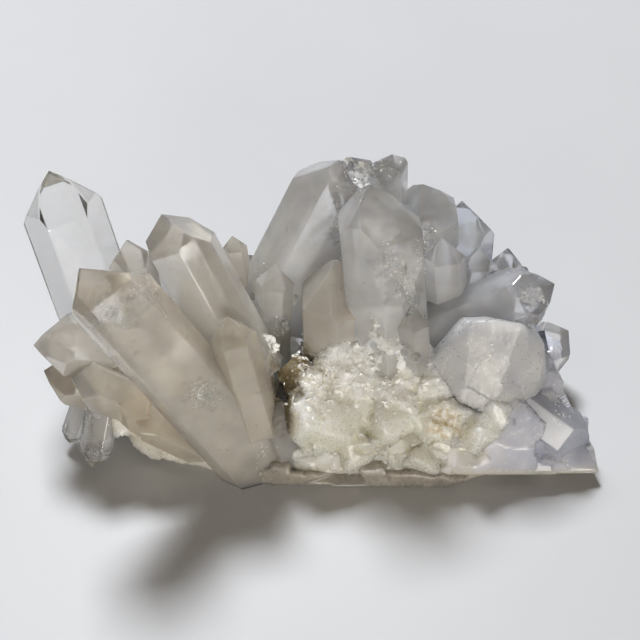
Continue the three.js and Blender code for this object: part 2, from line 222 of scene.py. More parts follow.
DRUSES = [
    Druse((-17, 33, 24), (6, 5, 4), (-0.2, -0.2, 1), 9, 13, 5, 5),
    Druse((-8, 30, 24), (5, 4, 3), (0.1, -0.4, 1), 5, 9, 4, 6),
    Druse((43, 40, 24), (5, 4, 4), (0.5, 0.1, 1), 6, 9, 4, 7),
    Druse((45.5, 20, 18), (3, 6, 6), (1, -0.1, 0.35), 6, 8, 5, 8),
    Druse((-50, 14, 14), (5, 4, 5), (-1, -0.5, -0.3), 7, 8, 4.5, 9),
    Druse((-28, 42, 12), (12, 4, 5), (-0.2, 1, 0.5), 8, 10, 6, 10),
    Druse((10, 44, 14), (14, 4, 7), (0, 1, 0.6), 9, 11, 6, 12),
    Druse((38, 42, 12), (10, 4, 5), (0.4, 1, 0.5), 7, 9, 6, 13),
    Druse((22, 13, 27), (5, 2, 3), (0.1, -0.6, 1), 3, 6, 3, 14),
]

# How milky each crystal is, from 0 for clear to 1, how warm its colour is, from -1 for bluish grey to
# 1 for cream, and the share of its length from the point down that is clearer.
LOOKS = {
    "left_clear": (0.16, 0.1, 0),
    "great_left": (0.55, 0.6, 0.25),
    "left_back": (0.75, 0.4, 0.1),
    "little_grey": (0.8, 0.5, 0.1),
    "thin_back": (0.85, 0.6, 0.1),
    "blunt_middle": (0.7, 0.4, 0.1),
    "tall_pale": (0.9, -0.2, 0.05),
    "top_ridge": (0.6, -0.3, 0.1),
    "top_front": (0.7, -0.1, 0.1),
    "centre_front": (0.7, 0.1, 0.15),
    "brown_middle": (0.9, 0.7, 0.05),
    "right_tall": (0.7, -0.2, 0.1),
    "right_blue": (0.7, -1, 0.15),
    "stub_right": (0.6, 0, 0.1),
    "stub_behind": (0.5, -0.2, 0.1),
    "little_right": (0.4, -0.4, 0.2),
    "right_lying": (0.5, -0.4, 0.35),
    "right_edge": (0.5, -1, 0.2),
    "right_foot": (0.6, -0.8, 0.1),
    "small_centre": (0.55, 0.3, 0.1),
    "beige_front": (0.7, 0.8, 0.1),
    "slip_front": (0.55, 0.5, 0.1),
    "front_foot": (0.6, 0.4, 0.1),
    "left_block": (0.9, 0.4, 0.1),
    "left_lower": (0.75, 0.8, 0.1),
    "left_facet": (0.65, 0.6, 0.1),
    "low_left": (0.75, 1, 0.1),
    "low_front": (0.7, 0.9, 0.1),
    "hang_left": (0.4, 0.1, 0),
    "hang_low": (0.35, 0.1, 0),
}
USUAL_LOOK = (0.6, 0.1, 0.2)
# How much of its milkiness a crystal keeps at its point.
MILK_AT_POINT = 0.6


def look_of(item):
    return LOOKS.get(item["name"], USUAL_LOOK)


def milky_share(fall, clear):
    """The share of a crystal's milkiness at a share of its length down from the point."""
    return MILK_AT_POINT + (1 - MILK_AT_POINT) * np.clip(fall / (clear + 0.01), 0, 1)


def dice(seed):
    """A function that gives the next of a list of numbers from 0 to 1 that is the same on every run."""
    mask = 0xFFFFFFFF
    state = seed

    def roll():
        nonlocal state
        state = (state + 0x6D2B79F5) & mask
        mixed = ((state ^ (state >> 15)) * (state | 1)) & mask
        mixed ^= (mixed + (((mixed ^ (mixed >> 7)) * (mixed | 61)) & mask)) & mask
        return ((mixed ^ (mixed >> 14)) & mask) / 4294967296

    return roll


def unit(vector):
    return vector / np.linalg.norm(vector)


def axes_of(item):
    """A crystal's own directions: along its axis to the point, out of its front, and to its right."""
    along = unit(item["tip"] - item["root"])
    out = unit(FRONT - along * (FRONT @ along))
    return along, out, np.cross(along, out)


def crystal_planes(item):
    """The planes that bound a crystal: their normals and their distances from the origin."""
    along, out, across = axes_of(item)
    normals = [-along]
    distances = [-along @ item["root"]]
    for k in range(6):
        angle = math.radians(item["turn"] + 60 * k)
        side = out * math.cos(angle) + across * math.sin(angle)
        normals.append(side)
        distances.append(side @ item["tip"] + item["width"] / 2 * item["sides"][k])
        slope = side * math.cos(POINT_ANGLE) + along * math.sin(POINT_ANGLE)
        normals.append(slope)
        distances.append(slope @ item["tip"] + item["cap"][k])
    return np.array(normals), np.array(distances)


def block_planes(corners):
    """The planes that bound a block: each through three of its corners with all the others behind it."""
    points = np.array(corners, float)
    normals = []
    distances = []
    for a, b, c in combinations(points, 3):
        normal = np.cross(b - a, c - a)
        if np.linalg.norm(normal) < 1e-6:
            continue
        normal = unit(normal)
        for facing in (normal, -normal):
            distance = facing @ a
            if (points @ facing > distance + 1e-6).any():
                continue
            if any(np.linalg.norm(other - facing) < 1e-4 for other in normals):
                continue
            normals.append(facing)
            distances.append(distance)
    return np.array(normals), np.array(distances)


def lump_planes(centre, radius, roll, faces=LUMP_FACES):
    """The planes of a rough lump: nearly even directions, each cut a little nearer than the radius."""
    normals = []
    distances = []
    for k in range(faces):
        height = 1 - (2 * k + 1) / faces
        around = k * GOLDEN_ANGLE + roll() * 0.9
        reach = math.sqrt(1 - height * height)
        normal = np.array([reach * math.cos(around), reach * math.sin(around), height])
        normals.append(normal)
        distances.append(normal @ np.array(centre, float) + radius * (1 - LUMP_SHORTFALL * roll()))
    return np.array(normals), np.array(distances)


def direction_about(axis, looseness, roll):
    """A random direction within a wide cone about an axis that need not be of unit length."""
    loose = np.array([roll() * 2 - 1, roll() * 2 - 1, roll() * 2 - 1])
    return unit(np.array(axis, float) + loose * looseness)


def lumps_on(lumps):
    """The lumps on a block: each stands where a line from a random place inside it leaves its side."""
    corners = np.array(BLOCKS[lumps.block], float)
    normals, distances = block_planes(corners)
    roll = dice(lumps.seed)
    made = []
    for _ in range(lumps.count):
        inside = corners[int(roll() * len(corners))]
        other = corners[int(roll() * len(corners))]
        inside = inside + (other - inside) * roll()
        other = corners[int(roll() * len(corners))]
        inside = inside + (other - inside) * 0.5 * roll()
        way = direction_about(lumps.side, 0.25, roll)
        leaving = normals @ way > 1e-6
        steps = (distances[leaving] - normals[leaving] @ inside) / (normals[leaving] @ way)
        depth = steps.min()
        radius = lumps.least + (lumps.most - lumps.least) * roll()
        if depth < radius:
            continue
        centre = inside + way * (depth - radius * LUMP_SUNK)
        centre[2] = max(centre[2], radius + LEAST_CLEARANCE)
        made.append(lump_planes(centre, radius, roll))
    return made


def druse_crystals(druse):
    """The small crystals of a patch."""
    roll = dice(druse.seed)
    made = []
    for number in range(druse.count):
        shift = [spread * (roll() * 2 - 1) for spread in druse.spread]
        root = np.array(druse.centre) + shift
        way = direction_about(druse.lean, 0.45, roll)
        size = 0.45 + 0.55 * roll()
        tip = root + way * druse.length * size
        cap = tuple(value * roll() for value in (0, 1, 0, 1, 0, 1))
        sides = tuple(0.8 + 0.3 * roll() for _ in range(6))
        name = f"druse_{druse.seed}_{number}"
        made.append(crystal(name, tip, root, druse.width * size, 60 * roll(), sides, cap))
    return made


def convex_solid(normals, distances):
    """The corners of the solid that planes bound, and for each plane the ring of corners that lie on it."""
    triples = np.array(list(combinations(range(len(distances)), 3)))
    meetings = normals[triples]
    meets = np.abs(np.linalg.det(meetings)) > 1e-6
    points = np.linalg.solve(meetings[meets], distances[triples][meets][..., None])[..., 0]
    points = points[(points @ normals.T < distances + 1e-6).all(1)]
    points = points[np.unique(np.round(points, 3), axis=0, return_index=True)[1]]
    rings = []
    for normal, distance in zip(normals, distances):
        on = np.nonzero(np.abs(points @ normal - distance) < 2e-3)[0]
        if len(on) < 3:
            continue
        middle = points[on].mean(0)
        right = unit(points[on[0]] - middle)
        up = np.cross(normal, right)
        spokes = points[on] - middle
        rings.append(on[np.argsort(np.arctan2(spokes @ up, spokes @ right))].tolist())
    return points, rings


def box_solid(least, most):
    """The corners and faces of a solid box from its least and greatest corner."""
    normals = np.concatenate([np.eye(3), -np.eye(3)])
    distances = np.concatenate([most, -np.array(least, float)])
    return convex_solid(normals, distances)


def in_metres(points):
    """Places in metres in the cluster's own frame, from places in millimetres."""
    return (np.asarray(points, float) - MIDDLE) * MM


def in_millimetres(points):
    return np.asarray(points, float) / MM + MIDDLE


def object_of(name, points, faces):
    """An object of places in millimetres and faces."""
    mesh = bpy.data.meshes.new(name)
    mesh.from_pydata(in_metres(points).tolist(), [], faces)
    made = bpy.data.objects.new(name, mesh)
    bpy.context.scene.collection.objects.link(made)
    return made


def solids_object(name, solids):
    """One object of separate closed solids, each given as its corners and faces."""
    points = []
    faces = []
    for corners, rings in solids:
        start = sum(len(part) for part in points)
        points.append(corners)
        faces += [[start + index for index in ring] for ring in rings]
    return object_of(name, np.concatenate(points), faces)


def block_solid(name):
    return convex_solid(*block_planes(BLOCKS[name]))


def bevel(obj, width):
    """Rounds an object's edges a little."""
    work = bmesh.new()
    work.from_mesh(obj.data)
    bmesh.ops.remove_doubles(work, verts=work.verts, dist=0.05 * MM)
    bmesh.ops.bevel(
        work, geom=work.edges[:], offset=width * MM, offset_type="OFFSET", segments=2, profile=0.5,
        affect="EDGES", clamp_overlap=True,
    )
    bmesh.ops.recalc_face_normals(work, faces=work.faces)
    work.to_mesh(obj.data)
    work.free()


def applied(obj):
    """Replaces an object's mesh by what its modifiers make of it."""
    bpy.context.view_layer.update()
    shown = obj.evaluated_get(bpy.context.evaluated_depsgraph_get())
    mesh = bpy.data.meshes.new_from_object(shown)
    obj.modifiers.clear()
    obj.data = mesh
    return obj


def joined(name, parts, cuts=()):
    """One closed object from the union of many, less others."""
    whole = parts[0]
    whole.name = name
    for other, operation in [(part, "UNION") for part in parts[1:]] + [(cut, "DIFFERENCE") for cut in cuts]:
        step = whole.modifiers.new("join", "BOOLEAN")
        step.operation = operation
        step.solver = "MANIFOLD"
        step.object = other
    applied(whole)
    for other in [*parts[1:], *cuts]:
        bpy.data.objects.remove(other)
    return whole


def coordinates(mesh):
    places = np.empty(len(mesh.vertices) * 3)
    mesh.vertices.foreach_get("co", places)
    return places.reshape(-1, 3)


def normals_of(mesh):
    ways = np.empty(len(mesh.vertices) * 3)
    mesh.vertex_normals.foreach_get("vector", ways)
    return ways.reshape(-1, 3)


def centres_of(mesh):
    centres = np.empty(len(mesh.polygons) * 3)
    mesh.polygons.foreach_get("center", centres)
    return centres.reshape(-1, 3)


def move_to(mesh, places):
    """Moves a mesh's corners to places in metres."""
    mesh.vertices.foreach_set("co", places.ravel())
    mesh.update()


def remeshed(obj, voxel):
    """An object rebuilt as one even skin."""
    step = obj.modifiers.new("even", "REMESH")
    step.mode = "VOXEL"
    step.voxel_size = voxel * MM
    return applied(obj)


def smoothed(obj, rounds):
    """An object whose bumps are worn down by a number of rounds of smoothing."""
    step = obj.modifiers.new("worn", "SMOOTH")
    step.factor = 0.5
    step.iterations = rounds
    return applied(obj)


def broken_up(obj, cell, tilt, most, seed, strength):
    """Breaks a skin into flat facets about a cell's size wide. Each facet tilts at random, no place moves
    further than the most, and strength gives how much of the move each place takes."""
    mesh = obj.data
    places = coordinates(mesh) / MM
    ways = normals_of(mesh)
    rng = np.random.default_rng(seed)
    area = sum(face.area for face in mesh.polygons) / MM**2
    count = max(8, int(area / cell**2))
    chosen = rng.choice(len(places), count, replace=False)
    tree = KDTree(count)
    for number, index in enumerate(chosen):
        tree.insert(Vector(places[index]), number)
    tree.balance()
    nearest = np.array([tree.find(Vector(place))[1] for place in places])
    facing = ways[chosen] + rng.normal(0, tilt, (count, 3))
    facing /= np.linalg.norm(facing, axis=1)[:, None]
    offsets = rng.uniform(-0.5, 0.5, count) * most
    through = places[chosen] + ways[chosen] * offsets[:, None]
    slant = np.einsum("ij,ij->i", ways, facing[nearest])
    slant = np.where(np.abs(slant) < 0.3, 0.3, slant)
    moves = np.einsum("ij,ij->i", through[nearest] - places, facing[nearest]) / slant
    moves = np.clip(moves, -most, most) * strength(places + MIDDLE)
    places += ways * moves[:, None]
    move_to(mesh, places * MM)


def ramp(values, low, high):
    return np.clip((values - low) / (high - low), 0, 1)


def turned_at_random(rng):
    """A random turn about the origin, as a matrix."""
    w, x, y, z = unit(rng.normal(size=4))
    return np.array([
        [1 - 2 * (y * y + z * z), 2 * (x * y - w * z), 2 * (x * z + w * y)],
        [2 * (x * y + w * z), 1 - 2 * (x * x + z * z), 2 * (y * z - w * x)],
        [2 * (x * z - w * y), 2 * (y * z + w * x), 1 - 2 * (x * x + y * y)],
    ])


def grains(name, places, sizes, shape, seed):
    """One object of many small broken grains at places, each a closed convex lump turned at random. The
    shape gives a grain's length, width and thickness against its size."""
    roll = dice(seed)
    kinds = [convex_solid(*lump_planes((0, 0, 0), 1, roll, GRAIN_FACES)) for _ in range(GRAIN_KINDS)]
    rng = np.random.default_rng(seed)
    solids = []
    for place, size in zip(places, sizes):
        corners, rings = kinds[rng.integers(GRAIN_KINDS)]
        solids.append(((corners * shape) @ turned_at_random(rng).T * size + place, rings))
    return solids_object(name, solids)


def surface_places(obj, count, share, seed):
    """Random places in millimetres on an object's skin, and the way that the skin faces there. The share
    gives how likely each place of the skin is to be taken."""
    places = in_millimetres(coordinates(obj.data))
    chance = share(places)
    rng = np.random.default_rng(seed)
    chosen = rng.choice(len(places), count, replace=False, p=chance / chance.sum())
    return places[chosen], normals_of(obj.data)[chosen]


def plate(centre, way, radius, squash, seed):
    """A thin closed plate with a ragged outline that bulges a little, as a crack inside quartz does."""
    rng = np.random.default_rng(seed)
    way = unit(np.array(way, float))
    right = unit(np.cross(way, (0.3, 0.2, 1)))
    up = np.cross(right, way)
    reach = radius * rng.uniform(0.6, 1, PLATE_POINTS)
    angles = np.arange(PLATE_POINTS) * math.tau / PLATE_POINTS
    points = []
    for side in (1, -1):
        points.append(np.array(centre) + way * side * PLATE_THICKNESS / 2)
        for share in (0.5, 1):
            bulge = way * (radius * PLATE_BULGE * share**2 + side * PLATE_THICKNESS / 2 * (1 - share / 2))
            for angle, far in zip(angles, reach):
                spoke = right * math.cos(angle) + up * math.sin(angle) * squash
                points.append(np.array(centre) + spoke * far * share + bulge)
    faces = []
    layer = 1 + 2 * PLATE_POINTS
    for k in range(PLATE_POINTS):
        inner = 1 + k
        next_inner = 1 + (k + 1) % PLATE_POINTS
        outer = inner + PLATE_POINTS
        next_outer = next_inner + PLATE_POINTS
        faces += [
            [0, inner, next_inner],
            [inner, outer, next_outer, next_inner],
            [layer, layer + next_inner, layer + inner],
            [layer + next_inner, layer + next_outer, layer + outer, layer + inner],
            [outer, layer + outer, layer + next_outer, next_outer],
        ]
    return np.array(points), faces


def everywhere(places):
    return np.ones(len(places))


def keep_above_table(obj, least=0.0):
    """Lifts the places of a piece that lie lower than a least height in millimetres."""
    places = coordinates(obj.data)
    places[:, 2] = np.maximum(places[:, 2], least * MM)
    move_to(obj.data, places)


def smooth_below(obj, height):
    """Shades the faces under a height in millimetres as one smooth skin."""
    mesh = obj.data
    mesh.polygons.foreach_set("use_smooth", centres_of(mesh)[:, 2] < height * MM)
    mesh.update()


def mark_crystals(obj, crystals):
    """Writes on each face corner how milky and warm the crystal is that the face belongs to, and the
    place along and about that crystal's own axis."""
    mesh = obj.data
    planes = [crystal_planes(item) for item in crystals]
    centres = in_millimetres(centres_of(mesh))
    far = np.stack([(centres @ normals.T - distances).max(1) for normals, distances in planes])
    owner = np.abs(far).argmin(0)
    starts = np.empty(len(mesh.polygons), int)
    totals = np.empty(len(mesh.polygons), int)
    mesh.polygons.foreach_get("loop_start", starts)
    mesh.polygons.foreach_get("loop_total", totals)
    vertices = np.empty(len(mesh.loops), int)
    mesh.loops.foreach_get("vertex_index", vertices)
    places = in_millimetres(coordinates(mesh))[vertices]
    owners = np.repeat(owner, totals)
    milk = np.zeros(len(places))
    warmth = np.zeros(len(places))
    growth = np.zeros((len(places), 3))
    for number, item in enumerate(crystals):
        here = owners == number
        if not here.any():
            continue
        along, out, across = axes_of(item)
        length = (item["tip"] - item["root"]) @ along
        height = (places[here] - item["root"]) @ along
        usual_milk, usual_warmth, clear = look_of(item)
        fall = np.clip(1 - height / length, 0, 1)
        milk[here] = usual_milk * milky_share(fall, clear) + 0.3 * fall**2 * min(1, usual_milk * 3)
        warmth[here] = usual_warmth
        growth[here, 0] = (places[here] - item["tip"]) @ out + 37 * number
        growth[here, 1] = (places[here] - item["tip"]) @ across
        growth[here, 2] = height
    for name, kind, values in (
        ("milk", "FLOAT", milk), ("warmth", "FLOAT", warmth), ("growth", "FLOAT_VECTOR", growth),
    ):
        layer = mesh.attributes.new(name, kind, "CORNER")
        layer.data.foreach_set("vector" if kind == "FLOAT_VECTOR" else "value", values.ravel())


class Nodes:
    """Builds a material's nodes. A value may be a number, a colour or another node's output."""

    def __init__(self, name):
        self.material = bpy.data.materials.new(name)
        self.material.use_nodes = True
        self.tree = self.material.node_tree
        self.place = self.made("TexCoord", {}).outputs["Object"]

    def link(self, source, target):
        if hasattr(source, "is_linked"):
            self.tree.links.new(source, target)
        else:
            target.default_value = source

    def made(self, kind, inputs):
        node = self.tree.nodes.new("ShaderNode" + kind)
        for name, value in inputs.items():
            self.link(value, node.inputs[name])
        return node

    def put(self, name, value):
        """Gives the material's shader a value."""
        self.link(value, self.tree.nodes["Principled BSDF"].inputs[name])

    def noise(self, size, detail=3.0, place=None, roughness=0.5):
        """Noise whose features are about a size in millimetres wide, from 0 to 1."""
        scale = 1 / (size * (MM if place is None else 1))
        inputs = {"Scale": scale, "Detail": detail, "Roughness": roughness, "Vector": place or self.place}
        return self.made("TexNoise", inputs).outputs["Fac"]

    def ramp(self, value, low, high, to_low=0.0, to_high=1.0):
        inputs = {"Value": value, "From Min": low, "From Max": high, "To Min": to_low, "To Max": to_high}
        node = self.made("MapRange", inputs)
        node.clamp = True
        return node.outputs["Result"]

    def math(self, operation, a, b=0.0):
        node = self.made("Math", {0: a, 1: b})
        node.operation = operation
        return node.outputs[0]

    def mix(self, share, a, b):
        """A colour between two others."""
        node = self.tree.nodes.new("ShaderNodeMix")
        node.data_type = "RGBA"
        self.link(share, node.inputs["Factor"])
        for colour, name in ((a, 6), (b, 7)):
            self.link(colour if hasattr(colour, "is_linked") else (*colour, 1), node.inputs[name])
        return node.outputs[2]

    def attribute(self, name, output="Fac"):
        node = self.made("Attribute", {})
        node.attribute_name = name
        return node.outputs[output]

    def near(self, centre, radius):
        """One at a place in millimetres, falling to nothing at a radius from it."""
        node = self.made("VectorMath", {0: self.place, 1: tuple(in_metres(centre))})
        node.operation = "DISTANCE"
        return self.ramp(node.outputs["Value"], 0, radius * MM, 1, 0)

    def axis(self, name):
        return self.made("SeparateXYZ", {0: self.place}).outputs[name]

    def bump(self, height, strength, distance):
        inputs = {"Strength": strength, "Distance": distance * MM, "Height": height}
        return self.made("Bump", inputs).outputs["Normal"]

    def stretched(self, vector, factors):
        node = self.made("VectorMath", {0: vector, 1: factors})
        node.operation = "MULTIPLY"
        return node.outputs[0]

    def scatter(self, radius, depth):
        """Lets light wander under the skin, to about a depth in millimetres."""
        self.put("Subsurface Weight", 1.0)
        self.put("Subsurface Radius", radius)
        self.put("Subsurface Scale", depth * MM)

    def absorb(self, colour, density):
        node = self.made("VolumeAbsorption", {"Color": (*colour, 1), "Density": density})
        self.link(node.outputs[0], self.tree.nodes["Material Output"].inputs["Volume"])


# Where small broken glints lie in or on the quartz: their middle, how far they spread, how many there
# are, and the least and greatest size.
GLINTS = [
    Glints((-25.6, 1.2, 27.7), (3.2, 0.5, 2.6), 90, 0.25, 0.9),
    Glints((-13, 2.6, 8), (4, 1, 3), 50, 0.2, 0.6),
    Glints((-13.3, 33, 33), (3, 1.5, 6), 60, 0.3, 0.9),
    Glints((-9.6, 26, 26), (1.6, 1, 2.5), 30, 0.3, 0.8),
    Glints((6.5, 39, 59), (3, 1.5, 3.5), 60, 0.3, 1.0),
    Glints((12, 41, 59), (4, 1.5, 1.5), 60, 0.3, 1.0),
    Glints((4.2, 35, 50), (0.7, 0.8, 9), 60, 0.2, 0.7),
    Glints((14, 18, 52), (0.8, 1, 4), 40, 0.2, 0.7),
    Glints((17, 18, 46), (3, 1.2, 6), 110, 0.3, 1.1),
    Glints((21, 21, 49), (0.8, 1, 8), 50, 0.3, 0.9),
    Glints((24.2, 32, 45), (1, 1, 6), 50, 0.3, 0.9),
    Glints((46, 22, 36.5), (3, 1.2, 2), 40, 0.3, 0.9),
    Glints((50, 22, 34), (1.5, 1.2, 3), 50, 0.3, 0.9),
    Glints((-50.8, 6, 4), (1.8, 1.5, 2), 50, 0.2, 0.7),
    Glints((-57, 13, 4.5), (1.2, 1, 1.8), 30, 0.2, 0.6),
    Glints((52.5, 10.5, 17), (1.5, 1, 2), 50, 0.25, 0.8),
    Glints((54.5, 7.5, 14.5), (1.5, 1, 2.5), 60, 0.25, 0.8),
]

# The cracks that show inside the crystals: their middle, the way that they face, their radius and squash.
CRACKS = [
    Crack((-38, 5, 53), (0.3, -0.8, 0.5), 4.5, 0.5),
    Crack((-43, 1.5, 50), (-0.5, -0.7, 0.5), 3.5, 0.6),
    Crack((-26, 4, 27), (0.2, -0.9, 0.3), 4, 0.7),
    Crack((9, 41, 57.5), (-0.3, -0.6, 0.7), 7, 0.5),
    Crack((17, 20, 47), (0.4, -0.9, 0.2), 6, 1.2),
    Crack((13, 23, 55), (-0.2, -0.9, 0.4), 5, 0.8),
    Crack((24.5, 35.5, 45), (-0.2, -1, 0.1), 4, 1.1),
    Crack((47, 24, 36), (0.4, -0.6, 0.7), 4, 0.6),
    Crack((-12, 12, 30), (0.2, -0.9, 0.4), 4, 1.3),
    Crack((34, 40, 41), (0.3, -0.8, 0.5), 4, 0.8),
    Crack((-53, 17, 27), (-0.4, -0.7, 0.6), 4, 0.7),
]


# Where the crystals are clear enough to show what is broken inside: the middle of each place and its radius.
CLEARINGS = [
    ((15, 17, 51), 5), ((17, 17, 46), 6), ((19, 18, 41), 5), ((8, 38, 60), 7), ((13, 39, 60), 6),
    ((-26.5, 0.5, 28.5), 5), ((-24, 0.5, 26), 4), ((24, 31, 48), 4), ((24, 31, 43), 4),
    ((-43, -1, 52), 6), ((-38.5, 0, 54), 5), ((50, 20, 34), 6), ((-9.6, 25, 27), 4),
    ((3.8, 34, 54), 4), ((3.6, 34, 46), 4),
]
# How much of the milkiness a clearing takes.
CLEARED = 0.7


def cleared(nodes, milk):
    """Milkiness less what the ragged clear places take from it."""
    near = nodes.near(*CLEARINGS[0])
    for clearing in CLEARINGS[1:]:
        near = nodes.math("MAXIMUM", near, nodes.near(*clearing))
    ragged = nodes.math("ADD", near, nodes.ramp(nodes.noise(2.5, 4, None, 0.6), 0.3, 0.7, -0.45, 0.3))
    return nodes.math("MULTIPLY", milk, nodes.ramp(ragged, 0.15, 0.75, 1, 1 - CLEARED))


# The dark brown in the gap between the left crystals and the white mound, an iron stain with painted shade
# of the gap: its two middles and reaches.
STAIN_AND_SHADE = [((-9, 15, 23), 12), ((-8.5, 10, 15), 10)]


def stain_and_shade_share(nodes):
    shares = [nodes.near(centre, radius) for centre, radius in STAIN_AND_SHADE]
    return nodes.ramp(nodes.math("MAXIMUM", *shares), 0.1, 0.4)


def crystal_quartz():
    """Clear to milky quartz, with the fine level lines across the prism faces that crystals grow."""
    nodes = Nodes("crystal_quartz")
    milk = nodes.attribute("milk")
    warmth = nodes.attribute("warmth")
    growth = nodes.attribute("growth", "Vector")
    clouds = nodes.noise(9, 3)
    milk = nodes.math("ADD", milk, nodes.ramp(clouds, 0.35, 0.65, -0.1, 0.1))
    milk = cleared(nodes, milk)
    cool = nodes.mix(nodes.ramp(warmth, -1, 0), (0.84, 0.88, 0.98), (0.95, 0.95, 0.96))
    hue = nodes.mix(nodes.ramp(warmth, 0, 1), cool, (0.79, 0.72, 0.61))
    tint = nodes.mix(nodes.ramp(milk, 0.1, 0.4), (0.95, 0.95, 0.95), hue)
    # Dark brown near the hollow: an iron stain with painted shade of the gap.
    rust_and_shade = nodes.math("MULTIPLY", stain_and_shade_share(nodes), nodes.ramp(nodes.noise(3, 4), 0.4, 0.6, 0, 0.85))
    nodes.put("Base Color", nodes.mix(rust_and_shade, tint, (0.30, 0.23, 0.12)))
    lines = nodes.noise(1, 2, nodes.stretched(growth, (0.03, 0.03, 1.2)))
    nodes.put("Transmission Weight", nodes.ramp(milk, 0.05, 1, 1.0, 0.7))
    nodes.put("Roughness", nodes.ramp(milk, 0.05, 1, 0.01, 0.15))
    nodes.put("Normal", nodes.bump(lines, 0.15, 0.05))
    nodes.put("IOR", QUARTZ_IOR)
    nodes.scatter((1.0, 0.95, 0.85), 4)
    nodes.absorb((0.85, 0.82, 0.77), 7)
    return nodes.material


def heart_quartz():
    """The milky inside of the crystals: a pale cloud of very fine bubbles."""
    nodes = Nodes("heart_quartz")
    cloud = nodes.noise(5, 5)
    warm = nodes.ramp(nodes.axis("X"), 0.012, -0.012)
    colour = nodes.mix(warm, (0.92, 0.92, 0.95), (0.92, 0.89, 0.82))
    pale = nodes.mix(warm, (0.98, 0.98, 0.99), (0.98, 0.96, 0.90))
    nodes.put("Base Color", nodes.mix(nodes.ramp(cloud, 0.35, 0.65), colour, pale))
    wisps = nodes.ramp(nodes.noise(4.5, 5, None, 0.6), 0.3, 0.6, 0.25, 0.95)
    nodes.put("Alpha", nodes.math("MULTIPLY", wisps, nodes.attribute("fade")))
    nodes.put("Roughness", 0.8)
    nodes.scatter((1.0, 0.96, 0.9), 10)
    return nodes.material


def crack_quartz():
    """The silvery skin of a crack inside a crystal, broken into flecks."""
    nodes = Nodes("crack_quartz")
    flecks = nodes.noise(1.4, 5, None, 0.65)
    nodes.put("Base Color", (0.95, 0.95, 0.94, 1))
    nodes.put("Alpha", nodes.ramp(flecks, 0.42, 0.56, 0.0, 0.85))
    nodes.put("Roughness", nodes.ramp(flecks, 0.4, 0.7, 0.08, 0.3))
    return nodes.material


def glint_quartz(name, clear):
    """Small bright broken grains, clear or white."""
    nodes = Nodes(name)
    tone = nodes.ramp(nodes.noise(2, 2), 0.35, 0.65)
    nodes.put("Base Color", nodes.mix(tone, (0.99, 0.99, 0.97), (0.98, 0.97, 0.92)))
    nodes.put("Transmission Weight", nodes.ramp(tone, 0, 1, clear * 0.5, clear))
    nodes.put("Roughness", nodes.ramp(nodes.noise(0.8, 2), 0.3, 0.7, 0.04, 0.22))
    nodes.put("IOR", QUARTZ_IOR)
    return nodes.material


def mound_quartz():
    """The white sugary mound, with a little cream, and a dark brown iron stain with painted shade in the
    hollow at its left.
    """
    nodes = Nodes("mound_quartz")
    patches = nodes.noise(8, 4)
    grain = nodes.noise(0.9, 2)
    low = nodes.ramp(nodes.axis("Z"), 0.013, 0.024, 1, 0)
    cream = nodes.math("MAXIMUM", nodes.ramp(patches, 0.5, 0.68, 0, 0.6), low)
    colour = nodes.mix(cream, (0.99, 0.98, 0.91), (0.98, 0.91, 0.77))
    # Dark brown near the hollow: an iron stain with painted shade of the gap.
    rust_and_shade = nodes.math("MULTIPLY", stain_and_shade_share(nodes), nodes.ramp(nodes.noise(2.5, 4), 0.25, 0.45))
    colour = nodes.mix(rust_and_shade, colour, (0.16, 0.125, 0.065))
    spot = nodes.near((27.9, 3.5, 16), 6)
    spot = nodes.math("MULTIPLY", nodes.ramp(spot, 0.1, 0.6), nodes.ramp(nodes.noise(1.2, 4), 0.42, 0.6))
    colour = nodes.mix(spot, colour, (0.62, 0.53, 0.36))
    nodes.put("Base Color", colour)
    nodes.put("Roughness", nodes.ramp(grain, 0.3, 0.7, 0.18, 0.45))
    nodes.put("Transmission Weight", nodes.ramp(low, 0, 1, 0.05, 0.35))
    nodes.put("IOR", QUARTZ_IOR)
    nodes.scatter((1.0, 0.95, 0.86), 7)
    return nodes.material


def root_quartz(name, left, right, clear, roughness, rim_and_painted_shade, rim_top):
    """Cloudy broken quartz whose colour goes from one at the left to another at the right, with a rim colour
    under a height in millimetres: a tan rim on the slab, and on the low root a dark colour that paints the
    shade there."""
    nodes = Nodes(name)
    patches = nodes.noise(7, 4)
    grain = nodes.noise(1.6, 4)
    ragged = nodes.ramp(patches, 0.3, 0.7, -0.008, 0.008)
    side = nodes.ramp(nodes.math("ADD", nodes.axis("X"), ragged), 0.030, 0.046)
    colour = nodes.mix(side, left, right)
    pale = nodes.mix(nodes.ramp(patches, 0.4, 0.65, 0, 0.35), colour, (0.97, 0.96, 0.95))
    # Under the rim height the colour turns to the rim colour; on the low root this is painted shade on the
    # underside.
    low = nodes.ramp(nodes.axis("Z"), (rim_top - 2) * MM, rim_top * MM, 1, 0)
    low = nodes.math("MULTIPLY", low, nodes.ramp(nodes.axis("X"), -0.022, -0.016))
    pale = nodes.mix(low, pale, rim_and_painted_shade)
    nodes.put("Base Color", pale)
    nodes.put("Roughness", nodes.ramp(grain, 0.3, 0.7, roughness * 0.6, roughness * 1.4))
    hazy = nodes.ramp(patches, 0.3, 0.7, 0.15, -0.15)
    hazy = nodes.math("ADD", hazy, nodes.ramp(side, 0, 1, clear * 0.6, clear))
    nodes.put("Transmission Weight", hazy)
    nodes.put("Normal", nodes.bump(grain, 0.15, 0.08))
    nodes.put("IOR", QUARTZ_IOR)
    nodes.scatter((1.0, 0.95, 0.88), 6)
    return nodes.material


